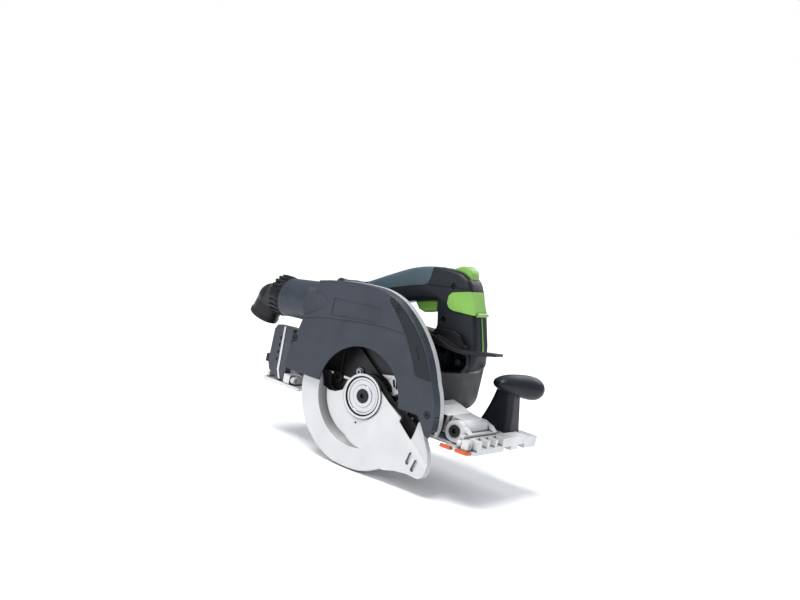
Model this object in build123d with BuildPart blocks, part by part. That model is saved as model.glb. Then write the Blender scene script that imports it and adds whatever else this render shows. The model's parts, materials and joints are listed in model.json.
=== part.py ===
from build123d import *
import os
from math import atan2, cos, degrees, pi, radians, sin

# Portable circular saw with a swinging lower guard, millimetres.
# Origin: blade centre on the spindle axis, in the plane of the blade.
# +X is the cutting direction, +Y points to the motor side, +Z is up.

os.makedirs("parts", exist_ok=True)

# ---- driving dimensions -------------------------------------------------------------
blade_r = 80.0
cut_depth = 55.0
blade_bore_r = 10.0
flange_seat_r = 9.5
base_z = cut_depth - blade_r          # underside of the base at full depth
skin_z = base_z + 4.0                 # top of the base plate's skin

cover_face = -18.4                    # outer face of the guard cover
cover_back = -5.0
rim_back = 3.0
housing_back = 15.0
wall = 2.5

guard_r = 87.0
guard_face = -12.5
guard_inner = 8.0
neck_r = 20.9                         # tube that the lower guard turns on
fit = 0.05                            # radial clearance of a running fit
gap = 0.4                             # clearance between bodies that pass each other

depth_pivot = (118.0, -7.0)           # X, Z of the depth hinge
bevel_axis = (8.0, -15.5)             # Y, Z of the bevel hinge
lever_pivot = (52.0, 78.0)            # X, Z of the guard lever
tool_pivot = (98.5, 124.0)            # X, Z of the tool change lever
duct_y, duct_z = 2.0, 84.0            # axis of the dust port, along X

gear_module = 1.2
gear_teeth = 32
pinion_teeth = 8
gear_distance = gear_module * (gear_teeth + pinion_teeth) / 2
motor_angle = 70.5
motor_x = gear_distance * cos(radians(motor_angle))
motor_z = gear_distance * sin(radians(motor_angle))

handle_mid = 57.0                     # Y of the seam between the handle shells


# ---- helpers ------------------------------------------------------------------------
def side(y):
    """XZ plane at the given Y, facing the blade side."""
    return Plane.XZ.offset(-y)


def cross(x):
    """YZ plane at the given X, facing forward."""
    return Plane.YZ.offset(x)


def polar(radius, angle, centre=(0, 0)):
    """Point at a radius and an angle in degrees from a centre."""
    return (centre[0] + radius * cos(radians(angle)), centre[1] + radius * sin(radians(angle)))


def save(builder, label):
    """Names a finished piece and writes it to its own file."""
    builder.part.label = label
    export_step(builder.part, f"parts/{label}.step")


def prism(points, y_near, y_far, mode=Mode.ADD):
    """Closed outline in XZ, filled between two values of Y."""
    with BuildSketch(side(y_far)) as shape:
        with BuildLine():
            Polyline(*points, close=True)
        make_face()
    extrude(shape.sketch, amount=y_far - y_near, mode=mode)


def disc(radius, y_near, y_far, centre=(0, 0), mode=Mode.ADD):
    """Cylinder along Y."""
    with BuildSketch(side(y_far)) as shape:
        with Locations(centre):
            Circle(radius)
    extrude(shape.sketch, amount=y_far - y_near, mode=mode)


def block(x, y, z, mode=Mode.ADD):
    """Box given by its three (low, high) spans."""
    with BuildSketch(Plane.XY.offset(z[0])) as shape:
        with Locations(((x[0] + x[1]) / 2, (y[0] + y[1]) / 2)):
            Rectangle(x[1] - x[0], y[1] - y[0])
    extrude(shape.sketch, amount=z[1] - z[0], mode=mode)


def rod(radius, x_near, x_far, centre, mode=Mode.ADD):
    """Cylinder along X, centred on (Y, Z)."""
    with BuildSketch(cross(x_near)) as shape:
        with Locations(centre):
            Circle(radius)
    extrude(shape.sketch, amount=x_far - x_near, mode=mode)


def ring(profile):
    """Solid of revolution about the spindle axis, from (radius, Y) points."""
    with BuildSketch(Plane.XY) as shape:
        with BuildLine():
            Polyline(*profile, close=True)
        make_face()
    revolve(shape.sketch, axis=Axis.Y)


def ease(radius, edges):
    """Rounds edges, or leaves them sharp where the radius doesn't fit."""
    try:
        fillet(edges, radius=radius)
    except Exception:
        print("left sharp:", len(edges), "edges of radius", radius)


# ---- outlines of the upper guard ----------------------------------------------------
def guard_outline(inset=0.0):
    """Edge wire of the upper guard: a sloped roof and a round front, open below."""
    with BuildSketch() as sketch:
        with BuildLine():
            roof = Polyline((-114, 3), (-113, 22), (-104, 55), (-101, 68), (-88, 118), (-72, 122))
            top = ThreePointArc(roof @ 1, (-38, 127.5), (-4, 129.5))
            brow = ThreePointArc(top @ 1, (14, 127), (30, 121.5))
            nose = ThreePointArc(brow @ 1, (68, 91), (96, 43))
            toe = ThreePointArc(nose @ 1, (106, 18), (108.5, -8))
            Polyline(toe @ 1, (106, -17), (100, -15), (92, -3), (86, 4), roof @ 0)
        make_face()
        if inset:
            offset(amount=-inset, kind=Kind.ARC)
    return sketch.sketch


def slab(sketch, y_near, y_far, mode=Mode.ADD):
    """A flat sketch, in X and Z, filled between two values of Y."""
    with BuildSketch(side(y_far)) as shape:
        add(sketch)
    extrude(shape.sketch, amount=y_far - y_near, mode=mode)


outline = guard_outline()
outline_wall = guard_outline(3.0)
outline_inner = guard_outline(8.0)
outline_cavity = guard_outline(11.0)


def duct_section(x, centre, radius, half_width=None):
    """Round section of the dust duct, or an upright ellipse where a half width is given."""
    with BuildSketch(cross(x)) as section:
        with Locations(centre):
            Ellipse(half_width or radius, radius)
    return section.sketch


def duct_body():
    """Port tube that fades into the guard's roof."""
    loft([duct_section(-142, (duct_y, duct_z), 23.6), duct_section(-100, (1, 89), 25)])
    loft([duct_section(-100, (1, 89), 25), duct_section(-36, (1, 104), 18, 13)])


with BuildPart() as duct_envelope:
    duct_body()

face_step = 0.8                       # the lower part of the cover's face lies this much deeper
cover_screw_spots = ((-107, 42), (31.5, 114), (98, 8))
strip_edge = ((17.8, 119), (47.2, 88.9), (72.6, 46.6))
lower_face = [(-130, 62), (-101, 69), (-69.8, 77.3), (-48.8, 80.4), (-20, 85), (8.5, 88.4), (29, 89), (45, 88),
              *strip_edge[1:], (120, 46.6), (120, -40), (-130, -40)]


def strip_outline(slack=0.0):
    """Side view of the panel that lies in the cover's face along the nose, grown by the slack."""
    edge = [(x - 0.8 * slack, z - 0.6 * slack) for x, z in strip_edge]
    with BuildSketch() as sketch:
        add(guard_outline(2.4 - slack))
        with BuildLine():
            flank = ThreePointArc(*edge)
            Polyline(flank @ 1, (130, edge[2][1]), (130, 140), (edge[0][0], 140), flank @ 0)
        make_face(mode=Mode.INTERSECT)
    return sketch.sketch


# ---- upper guard --------------------------------------------------------------------
with BuildPart() as guard_cover:
    slab(outline, cover_face, cover_back)
    skin = guard_cover.faces().filter_by(Axis.Y).sort_by(Axis.Y)[0]
    ease(1.6, skin.edges().filter_by_position(Axis.Z, 10, 130))
    slab(outline_wall, cover_face + wall, cover_back, mode=Mode.SUBTRACT)
    block((-130, 108), (cover_face + wall, cover_back), (-30, 8), mode=Mode.SUBTRACT)
    block((-130, -96), (cover_face + wall, cover_back), (-5, 38), mode=Mode.SUBTRACT)
    disc(58.5, cover_face - 1, cover_back, mode=Mode.SUBTRACT)
    block((-50, 50), (cover_face - 1, cover_back), (-60, 5), mode=Mode.SUBTRACT)
    add(duct_envelope.part, mode=Mode.SUBTRACT)
    prism(lower_face, cover_face, cover_face + face_step, Mode.SUBTRACT)
    prism([(-60, 104), (-61, 82.5), (8, 90.2), (7, 108)], cover_face, cover_face + 0.5, Mode.SUBTRACT)
    slab(strip_outline(0.5), cover_face, cover_face + 1.4, Mode.SUBTRACT)
    for screw in cover_screw_spots:
        disc(5.5, cover_face + wall, cover_back, screw)
        disc(4.2, cover_face, cover_face + 1.5, screw, Mode.SUBTRACT)
        disc(1.9, cover_face, cover_back, screw, Mode.SUBTRACT)
save(guard_cover, "guard_cover")

with BuildPart() as cover_strip:
    slab(strip_outline(), cover_face, cover_face + 1.4)
    disc(4.2, cover_face, cover_face + 1.5, cover_screw_spots[1], Mode.SUBTRACT)
    prism([(66.2, 80.4), (71.4, 76.4), (69.4, 75.6), (75.2, 66.2), (72.4, 64.6), (66.8, 74.2), (65.2, 73.4)],
          cover_face, cover_face + 0.6, Mode.SUBTRACT)
save(cover_strip, "cover_strip")

with BuildPart() as cover_screws:
    for screw in cover_screw_spots:
        disc(3.8, cover_face + 0.3, cover_face + 1.5, screw)
        disc(1.9, cover_face + 1.5, cover_back - 0.5, screw)
        with BuildSketch(side(cover_face + 1.2)):
            with Locations(screw):
                RegularPolygon(1.6, 6)
        extrude(amount=1.0, mode=Mode.SUBTRACT)
save(cover_screws, "cover_screws")

with BuildPart() as guard_rim:
    slab(outline, cover_back, rim_back)
    slab(guard_outline(5.0), cover_back, rim_back, mode=Mode.SUBTRACT)
    block((-130, 106), (cover_back, rim_back), (-30, 10), mode=Mode.SUBTRACT)
    block((-130, -90), (cover_back, rim_back), (-5, 38), mode=Mode.SUBTRACT)
    add(duct_envelope.part, mode=Mode.SUBTRACT)
save(guard_rim, "guard_rim")

inner_screw = (-22.5, 22.5)
buffer_at = (42.0, 3.0)
bolt_boss = (-52.0, 8.0)

with BuildPart() as upper_guard:
    slab(outline_inner, rim_back, housing_back)
    prism([(-111, 8), (-70, -4), (-40, -16), (-14, -22), (14, -22), (45, -16), (84, -8), (104, -14),
           (106, 8)], housing_back - wall, housing_back)
    slab(outline_cavity, rim_back, housing_back - wall, mode=Mode.SUBTRACT)
    block((-130, 94), (rim_back, housing_back - wall), (-30, 18), mode=Mode.SUBTRACT)
    block((-130, -92), (rim_back, housing_back - wall), (-5, 38), mode=Mode.SUBTRACT)
    for low, high in (((-48, 4), (-49.6, 60)), ((12, 24), (-44, 62)), ((34, 18), (16, 96))):
        prism([low, (low[0] + 1.3, low[1]), (high[0] + 1.3, high[1]), high], 8.0, housing_back - wall)
    disc(5.8, 8.0, 11.2, inner_screw, Mode.SUBTRACT)
    disc(5.4, 11.2, housing_back - wall, inner_screw)
    disc(4.6, 9.0, housing_back - wall, buffer_at)
    disc(7.5, 8.8, housing_back - wall, bolt_boss)
    disc(3.0, 8.8, housing_back - wall - 0.5, bolt_boss, Mode.SUBTRACT)
    disc(neck_r + 0.1, rim_back, housing_back, mode=Mode.SUBTRACT)
    disc(26.2, rim_back, housing_back - wall, mode=Mode.SUBTRACT)
    disc(2.05, 11.0, housing_back, inner_screw, Mode.SUBTRACT)
    disc(2.05, 8.8, housing_back, buffer_at, Mode.SUBTRACT)
    add(duct_envelope.part, mode=Mode.SUBTRACT)
save(upper_guard, "upper_guard")

with BuildPart() as washer_screw:
    disc(5.2, 10.2, 11.2, inner_screw)
    disc(3.4, 8.4, 10.2, inner_screw)
    disc(2.0, 11.2, housing_back, inner_screw)
    with BuildSketch(side(10.0)):
        with Locations(inner_screw):
            RegularPolygon(1.7, 6)
    extrude(amount=2.0, mode=Mode.SUBTRACT)
save(washer_screw, "washer_screw")

with BuildPart() as guard_buffer:
    disc(4.6, 8.4, 9.0, buffer_at)
    disc(2.0, 9.0, 14.0, buffer_at)
    disc(1.2, 8.4, 10.5, buffer_at, Mode.SUBTRACT)
save(guard_buffer, "guard_buffer")

with BuildPart() as dust_duct:
    duct_body()
    rod(20.95, -153, -142, (duct_y, duct_z))
    loft([duct_section(-153, (duct_y, duct_z), 18.5), duct_section(-100, (1, 89), 22)], mode=Mode.SUBTRACT)
    loft([duct_section(-100, (1, 89), 22), duct_section(-36, (1, 104), 15, 10)], mode=Mode.SUBTRACT)
    block((-96, -40), (-15.5, 12), (40, 96), mode=Mode.SUBTRACT)
save(dust_duct, "dust_duct")

# ---- swivelling dust elbow ----------------------------------------------------------
elbow_at = (-168.0, 76.0)
outlet_end = (-177.0, 52.0)
outlet_plane = Plane(origin=(outlet_end[0], duct_y, outlet_end[1]), x_dir=(0, 1, 0),
                     z_dir=(outlet_end[0] - elbow_at[0], 0, outlet_end[1] - elbow_at[1]))
with BuildPart() as dust_elbow:
    rod(24.0, -148, -142.4, (duct_y, duct_z))
    loft([duct_section(-148, (duct_y, duct_z), 24), duct_section(-158, (duct_y, 83), 21.8)])
    loft([duct_section(-158, (duct_y, 83), 21.8), duct_section(-168, (duct_y, 76), 18.8)])
    with BuildSketch(cross(-144.5)):
        with Locations((duct_y, duct_z)):
            with PolarLocations(23.4, 22):
                Rectangle(3.4, 3.2)
    extrude(amount=-12)
    with Locations((elbow_at[0], duct_y, elbow_at[1])):
        Sphere(18.8)
    with BuildSketch(outlet_plane):
        Circle(18.0)
    extrude(amount=-26)
    with BuildSketch(outlet_plane):
        Circle(18.8)
    extrude(amount=-4)
    rod(21.0, -153.3, -142.4, (duct_y, duct_z), Mode.SUBTRACT)
    loft([duct_section(-153.3, (duct_y, duct_z), 17.5), duct_section(-168, (duct_y, 77), 15)],
         mode=Mode.SUBTRACT)
    with Locations((elbow_at[0], duct_y, elbow_at[1])):
        Sphere(15.2, mode=Mode.SUBTRACT)
    with BuildSketch(outlet_plane):
        Circle(13.5)
    extrude(amount=-20, mode=Mode.SUBTRACT)
save(dust_elbow, "dust_elbow")

# ---- lower guard --------------------------------------------------------------------
beak_back = -2.0
hollow_depth = 5.5                    # of the beak's hollow, from its back
tip_step = 3.0                        # the beak's tip lies this much behind the guard's face
crease = ((66.0, -20.5), (106.0, -52.0))


def along(start, end, profile, reach, mode=Mode.ADD):
    """Profile of (distance to the left of a line in XZ, Y) points, filled along the line."""
    run = Vector(end[0] - start[0], 0, end[1] - start[1]).normalized()
    plane = Plane(origin=(start[0], 0, start[1]), x_dir=(-run.Z, 0, run.X), z_dir=run)
    flip = 1 if plane.y_dir.Y > 0 else -1
    with BuildSketch(plane.offset(-reach)) as shape:
        with BuildLine():
            Polyline(*[(across, flip * y) for across, y in profile], close=True)
        make_face()
    extrude(shape.sketch, amount=2 * reach, mode=mode)


with BuildPart() as dish_fill:
    along((0, 0), (-1, -1), [(26, -5.5), (53, guard_face), (62, guard_face), (62, -3.5), (26, -3.5)], 62)
    disc(60.9, guard_face, -3.5, mode=Mode.INTERSECT)

beak = [(50, -40), (80, -18.5), (85.5, -4.5), (87.5, -4), (89, -6), (97, -21), (104.5, -34), (109, -50),
        (109, -58), (106, -64), (101, -67), (86, -66), (69, -68), (54, -72), (48, -72)]
beak_hollow = [(52, -42), (79, -22), (86, -12), (87, -9), (95, -23), (102.3, -35), (106.8, -50),
               (106.8, -57), (104.5, -62), (100, -64.8), (86, -63.8), (68, -65.8), (54, -69)]
with BuildPart() as lower_guard:
    ring([(23.8, -7.2), (26.5, -7.2), (26.5, -5.5), (53, -5.5), (60.5, guard_face), (85.5, guard_face),
          (guard_r, guard_face + 1.5), (guard_r, guard_inner), (24.5, guard_inner), (24.5, 5.6),
          (84.6, 5.6), (84.6, -9.5), (83.6, -10.5), (61.4, -10.5), (54, -3.5), (23.8, -3.5)])
    add(dish_fill.part)
    prism([(-95, 14), (-60, 12), (-57, -3), (-50, -7), (-40, -6), (-30, -1), (-26, 12), (0, 24), (22, 14),
           (38, 3), (61, -7), (80, -17), (96, -17), (96, -100), (-95, -100)],
          guard_face - 1, guard_inner + 1, Mode.INTERSECT)
    prism(beak, guard_face, beak_back)
    with BuildSketch(side(beak_back)):
        with BuildLine():
            Polyline(*beak_hollow, close=True)
        make_face()
        Circle(guard_r - 1, mode=Mode.SUBTRACT)
    extrude(amount=hollow_depth, mode=Mode.SUBTRACT)
    along(*crease, [(0, guard_face - 1), (0, guard_face), (5, guard_face + tip_step), (60, guard_face + tip_step),
                    (60, guard_face - 1)], 60, Mode.SUBTRACT)
    with BuildSketch(side(5.6)):
        Circle(84.6)
        Circle(61.4, mode=Mode.SUBTRACT)
    extrude(amount=16.1, mode=Mode.SUBTRACT)
    with BuildSketch(side(5.6)):
        Circle(62)
        Circle(26.5, mode=Mode.SUBTRACT)
    extrude(amount=9.1, mode=Mode.SUBTRACT)
    disc(25.4, 4.8, 9.6)
    disc(26.5, -7.2, -3.5)
    disc(23.8, -8, -3, mode=Mode.SUBTRACT)
    disc(23.0, -3.5, 10, mode=Mode.SUBTRACT)
    for low, high in (((83, -55), (86, -41)), ((91, -61), (95, -47))):
        slot_angle = degrees(atan2(high[1] - low[1], high[0] - low[0]))
        slot_mid = ((low[0] + high[0]) / 2, (low[1] + high[1]) / 2)
        with BuildSketch(side(beak_back)):
            with Locations(slot_mid):
                SlotOverall(15.5, 4.8, rotation=slot_angle)
        extrude(amount=beak_back - guard_face + 1, mode=Mode.SUBTRACT)
    disc(1.3, -6, -3, (-2, -33), Mode.SUBTRACT)
save(lower_guard, "lower_guard")

with BuildPart() as guard_bush:
    disc(23.0, 4.8, 9.6)
    disc(neck_r + fit, 4.8, 9.6, mode=Mode.SUBTRACT)
save(guard_bush, "guard_bush")

with BuildPart() as guard_spring:
    for turn in range(2):
        with Locations((0, 10.6 + 1.1 * turn - 0.05, 0)):
            Torus(24.6, 0.5, rotation=(90, 0, 0))
save(guard_spring, "guard_spring")

# ---- spindle and drive --------------------------------------------------------------
with BuildPart() as spindle:
    disc(blade_bore_r, -3.0, 0.8)
    disc(flange_seat_r, 0.8, 5.0)
    disc(8.0, 5.0, 15.5)
    disc(6.0, 15.5, 36.0)
    disc(4.0, -3.0, 16.0, mode=Mode.SUBTRACT)
save(spindle, "spindle")

with BuildPart() as inner_flange:
    disc(22.4, 1.0, 4.0)
    disc(14.0, 4.0, 4.4)
    disc(flange_seat_r, 0.5, 5.0, mode=Mode.SUBTRACT)
save(inner_flange, "inner_flange")

with BuildPart() as outer_flange:
    disc(22.4, -6.0, -1.0)
    ease(0.8, outer_flange.faces().filter_by(Axis.Y).sort_by(Axis.Y)[0].edges())
    with BuildSketch(side(-5.4)):
        Circle(19.5)
        Circle(13, mode=Mode.SUBTRACT)
    extrude(amount=1.0, mode=Mode.SUBTRACT)
    disc(blade_bore_r + 1.0, -3.2, 0, mode=Mode.SUBTRACT)
    disc(4.4, -7, 0, mode=Mode.SUBTRACT)
    disc(8.2, -7, -4.2, mode=Mode.SUBTRACT)
save(outer_flange, "outer_flange")

with BuildPart() as clamp_screw:
    disc(8.0, -6.8, -4.2)
    disc(3.9, -4.2, 14.0)
    with BuildSketch(side(-4.6)):
        RegularPolygon(3.2, 6)
    extrude(amount=4, mode=Mode.SUBTRACT)
save(clamp_screw, "clamp_screw")


def toothed(radius, teeth, root, tip_width, root_width, y_near, y_far, centre, start):
    """Straight-cut gear body."""
    disc(root, y_near, y_far, centre)
    for tooth in range(teeth):
        angle = start + 360 * tooth / teeth
        across = angle + 90
        base_point = polar(root - 0.4, angle, centre)
        tip_point = polar(radius, angle, centre)
        prism([polar(root_width / 2, across, base_point), polar(-root_width / 2, across, base_point),
               polar(-tip_width / 2, across, tip_point), polar(tip_width / 2, across, tip_point)],
              y_near, y_far)


gear_pitch_r = gear_module * gear_teeth / 2
pinion_pitch_r = gear_module * pinion_teeth / 2
with BuildPart() as spindle_gear:
    toothed(gear_pitch_r + gear_module, gear_teeth, gear_pitch_r - 1.25 * gear_module, 0.8, 2.2,
            20.5, 29.5, (0, 0), motor_angle)
    disc(6.0, 20, 30, mode=Mode.SUBTRACT)
save(spindle_gear, "spindle_gear")

motor_at = (motor_x, motor_z)
with BuildPart() as armature_shaft:
    toothed(pinion_pitch_r + gear_module, pinion_teeth, pinion_pitch_r - 1.25 * gear_module, 0.7, 1.5,
            20.0, 30.5, motor_at, motor_angle + 180 + 180 / pinion_teeth)
    disc(4.0, 30.5, 140.0, motor_at)
save(armature_shaft, "armature_shaft")

with BuildPart() as cooling_fan:
    disc(6.0, 41, 50, motor_at)
    disc(27.0, 48.5, 50, motor_at)
    for blade in range(9):
        angle = 40 * blade
        prism([polar(5, angle - 12, motor_at), polar(5, angle + 12, motor_at),
               polar(26.5, angle + 3.6, motor_at), polar(26.5, angle + 1, motor_at)], 42, 48.5)
    disc(4.0, 40, 51, motor_at, Mode.SUBTRACT)
save(cooling_fan, "cooling_fan")

with BuildPart() as armature_core:
    disc(17.5, 57, 98, motor_at)
    for slot in range(12):
        angle = 30 * slot
        prism([polar(13, angle - 3, motor_at), polar(13, angle + 3, motor_at),
               polar(19, angle + 2, motor_at), polar(19, angle - 2, motor_at)], 57, 98, Mode.SUBTRACT)
    disc(4.0, 56, 99, motor_at, Mode.SUBTRACT)
save(armature_core, "armature_core")

with BuildPart() as commutator:
    disc(11.0, 104, 120, motor_at)
    disc(12.5, 102, 104, motor_at)
    disc(4.0, 100, 121, motor_at, Mode.SUBTRACT)
save(commutator, "commutator")

with BuildPart() as stator:
    disc(28.5, 56, 99, motor_at)
    disc(18.2, 55, 100, motor_at, Mode.SUBTRACT)
    for pole in (0, 180):
        prism([polar(16, pole - 18, motor_at), polar(16, pole + 18, motor_at),
               polar(24, pole + 18, motor_at), polar(24, pole - 18, motor_at)], 55, 100, Mode.SUBTRACT)
save(stator, "stator")

with BuildPart() as carbon_brushes:
    for sign in (-1, 1):
        near = motor_x + sign * 11.3
        far = motor_x + sign * 25
        block((min(near, far), max(near, far)), (108, 116), (motor_z - 4, motor_z + 4))
save(carbon_brushes, "carbon_brushes")

with BuildPart() as ball_bearings:
    for inner, outer, near, far, centre in ((8, 16, 6, 14, (0, 0)), (6, 10.5, 30.5, 36, (0, 0)),
                                            (4, 9.5, 32, 37.5, motor_at), (4, 11, 130, 138, motor_at)):
        disc(outer, near, far, centre)
        disc(inner + fit, near, far, centre, Mode.SUBTRACT)
        with BuildSketch(side(near + 0.7)):
            with Locations(centre):
                Circle(outer - 1.6)
                Circle(inner + 1.6, mode=Mode.SUBTRACT)
        extrude(amount=1.0, mode=Mode.SUBTRACT)
save(ball_bearings, "ball_bearings")

# ---- gearbox and motor --------------------------------------------------------------
with BuildPart() as gearbox_housing:
    disc(23.0, housing_back, 37.8)
    with BuildSketch(side(37.8)):
        with Locations(motor_at):
            Circle(18)
        with Locations((motor_x, motor_z + 22)):
            RectangleRounded(52, 34, 8)
    extrude(amount=37.8 - housing_back)
    disc(neck_r, 4.9, housing_back)
    disc(15.0, 4.9, 6, mode=Mode.SUBTRACT)
    disc(16.0, 6.0, 14.0, mode=Mode.SUBTRACT)
    disc(9.0, 13.0, 19.0, mode=Mode.SUBTRACT)
    disc(21.2, 19.0, 30.5, mode=Mode.SUBTRACT)
    disc(7.0, 19.0, 31.0, motor_at, Mode.SUBTRACT)
    disc(10.5, 30.0, 36.0, mode=Mode.SUBTRACT)
    disc(9.5, 31.0, 37.8, motor_at, Mode.SUBTRACT)
    for corner in ((motor_x - 20, motor_z + 33), (motor_x + 20, motor_z + 33)):
        disc(2.1, housing_back - 1, 30, corner, Mode.SUBTRACT)
save(gearbox_housing, "gearbox_housing")

motor_span_x = (-22.0, 71.0)
motor_span_z = (-9.0, 76.0)
motor_mid = ((motor_span_x[0] + motor_span_x[1]) / 2, (motor_span_z[0] + motor_span_z[1]) / 2)
motor_size = (motor_span_x[1] - motor_span_x[0], motor_span_z[1] - motor_span_z[0])


def motor_shell(y_near, y_far, inset=0.0, mode=Mode.ADD):
    """Rounded box along Y, the section of the motor housing."""
    with BuildSketch(side(y_far)) as shape:
        with Locations(motor_mid):
            RectangleRounded(motor_size[0] - 2 * inset, motor_size[1] - 2 * inset, 24 - inset)
    extrude(shape.sketch, amount=y_far - y_near, mode=mode)


with BuildPart() as motor_housing:
    motor_shell(38, 122)
    motor_shell(40.5, 122, wall, Mode.SUBTRACT)
    disc(12.0, 37, 42, motor_at, Mode.SUBTRACT)
    disc(30.5, 54, 100, motor_at)
    disc(28.5, 53, 101, motor_at, Mode.SUBTRACT)
    for row in range(5):
        block((10 + 9 * row, 14 + 9 * row), (44, 52), (motor_span_z[0] - 1, motor_span_z[0] + 4),
              Mode.SUBTRACT)
save(motor_housing, "motor_housing")

with BuildPart() as motor_end_cap:
    motor_shell(122, 144)
    ease(9.0, motor_end_cap.faces().filter_by(Axis.Y).sort_by(Axis.Y)[-1].edges())
    motor_shell(122, 140.5, 3.5, Mode.SUBTRACT)
    disc(14.0, 128, 141, motor_at)
    disc(11.0, 128, 138, motor_at, Mode.SUBTRACT)
    disc(6.0, 137, 141.5, motor_at, Mode.SUBTRACT)
    for row in range(6):
        block((motor_span_x[0] + 22 + 9 * row, motor_span_x[0] + 26 + 9 * row), (132, 150), (52, 66),
              Mode.SUBTRACT)
    for row in range(4):
        block((36 + 8 * row, 40 + 8 * row), (132, 150), (4, 24), Mode.SUBTRACT)
save(motor_end_cap, "motor_end_cap")

# ---- handle -------------------------------------------------------------------------
def handle_outline(inset=0.0):
    """Side view of the D-shaped handle with its tail."""
    with BuildSketch() as sketch:
        with BuildLine():
            tail = Line((-98, 96), (-98, 119))
            shoulder = ThreePointArc(tail @ 1, (-77, 121), (-58, 126.5))
            crown = ThreePointArc(shoulder @ 1, (-31, 141.5), (-8, 153.5))
            top = ThreePointArc(crown @ 1, (30, 165), (66, 166))
            front = Polyline(top @ 1, (79, 160), (84.5, 150), (95.5, 124), (106, 90), (109, 76), (108, 64),
                             (102, 55))
            Polyline(front @ 1, (71.4, 48), (71.4, 76.4), (-40, 76.4), (-60, 80), (-74, 94), tail @ 0)
        make_face()
        with BuildLine():
            roof = ThreePointArc((-36, 99), (0, 115.5), (41, 127))
            Polyline(roof @ 1, (47.5, 98), (44, 91), (-28, 89), (-36, 93), roof @ 0)
        make_face(mode=Mode.SUBTRACT)
        if inset:
            offset(amount=-inset, kind=Kind.ARC)
    return sketch.sketch


def foot_outline(inset=0.0):
    """Side view of the wide foot of the handle, over and in front of the motor."""
    with BuildSketch() as sketch:
        with BuildLine():
            Polyline((-30, 76.4), (71.4, 76.4), (71.4, 48), (98, 54), (104, 64), (103, 74), (96, 87),
                     (-24, 87), close=True)
        make_face()
        if inset:
            offset(amount=-inset, kind=Kind.ARC)
    return sketch.sketch


handle_sketch = handle_outline()
handle_core = handle_outline(4.5)
foot_sketch = foot_outline()
foot_core = foot_outline(3.0)

grip_near, grip_far = 40.6, 73.4
with BuildPart() as soft_grip:
    with BuildSketch(side(grip_far)):
        with BuildLine():
            slope = ThreePointArc((-52, 129.2), (-31, 141.8), (-8, 154))
            ridge = ThreePointArc(slope @ 1, (15, 162.2), (38, 166.4))
            Polyline(ridge @ 1, (27, 142), (4, 134.5), (-22, 125), (-44, 118), slope @ 0)
        make_face()
    extrude(amount=grip_far - grip_near)
    with BuildSketch(side(69)):
        with BuildLine():
            ridge_in = ThreePointArc((-60, 116), (-8, 146), (48, 161))
            Polyline(ridge_in @ 1, (48, 100), (-60, 100), ridge_in @ 0)
        make_face()
    extrude(amount=24, mode=Mode.SUBTRACT)
    for face_y in (grip_near, grip_far):
        flank = soft_grip.edges().filter_by(GeomType.CIRCLE).filter_by_position(Axis.Y, face_y - 0.1, face_y + 0.1)
        ease(5.0, flank)
save(soft_grip, "soft_grip")

trigger_outline = [(7, 134), (7, 119.5), (15, 110.5), (24, 108.6), (40, 114), (37.5, 134)]
with BuildPart() as trigger:
    prism(trigger_outline, handle_mid - 9, handle_mid + 9)
    ease(2.0, trigger.faces().filter_by(Axis.Y).edges())
save(trigger, "trigger")

with BuildPart() as switch_lock:
    with BuildSketch(side(handle_mid + 9)):
        with BuildLine():
            hump = Spline((48, 165), (58, 172), (68, 174), (76.5, 166))
            Polyline(hump @ 1, (76.5, 160), (48, 160), hump @ 0)
        make_face()
    extrude(amount=18)
    ease(2.0, switch_lock.faces().filter_by(Axis.Y).edges().filter_by(GeomType.BSPLINE))
save(switch_lock, "switch_lock")

lever_side = [(57.5, 128), (57.5, 137), (61, 141.5), (67, 143.6), (83, 148), (86.6, 148.5), (98.2, 124.6),
              (96.5, 123), (67, 121.6), (61, 123.5)]
with BuildPart() as lever_room:
    prism([(50, 110), (50, 160), (80, 160), (85.4, 148.5), (101.2, 112), (100, 110)], 40.6, 75)
    ease(7.0, lever_room.edges().filter_by(Axis.Y, reverse=True).group_by(Axis.X)[-1])
with BuildPart() as tool_lever:
    prism(lever_side, 38.6, 65)
    ease(2.5, tool_lever.edges().filter_by(Axis.Y).sort_by(Axis.X)[:4])
    add(lever_room.part, mode=Mode.SUBTRACT)
    disc(2.2, 42, 65, tool_pivot)
save(tool_lever, "tool_lever")

socket_z = 107.5
socket_tail_r = 10.0                  # the part of the socket that the shells hold
with BuildPart() as cable_socket:
    rod(10.5, -112, -98.5, (handle_mid, socket_z))
    rod(socket_tail_r, -98.5, -86, (handle_mid, socket_z))
    rod(8.0, -112, -92, (handle_mid, socket_z), Mode.SUBTRACT)
    for sign in (-1, 1):
        rod(1.4, -103, -92, (handle_mid + 3 * sign, socket_z))
save(cable_socket, "cable_socket")

with BuildPart() as seam_strip:
    with BuildSketch(side(handle_mid + 1.2)):
        with BuildLine():
            Polyline((96.8, 121.5), (106.9, 90), (109.6, 80), (108, 80), (104.6, 90), (94.8, 121.5), close=True)
        make_face()
    extrude(amount=2.4)
save(seam_strip, "seam_strip")

with BuildPart() as switch_block:
    block((10, 36), (48.5, 65.5), (140.5, 150))
save(switch_block, "switch_block")

with BuildPart() as electronics_board:
    block((58, 86), (46, 72), (81, 82.6))
    block((60, 70), (48, 56), (79.9, 81))
    block((74, 82), (50, 70), (79.9, 81))
save(electronics_board, "electronics_board")

dial_at = (-14.0, 84.5)
dial_y = (71.0, 76.0)
with BuildPart() as speed_dial:
    disc(10.0, dial_y[0], dial_y[1], dial_at)
    with BuildSketch(side(dial_y[1])):
        with Locations(dial_at):
            with PolarLocations(10, 18):
                Circle(0.7)
    extrude(amount=dial_y[1] - dial_y[0], mode=Mode.SUBTRACT)
    disc(2.0, 68.5, 78.5, dial_at)
save(speed_dial, "speed_dial")

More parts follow.
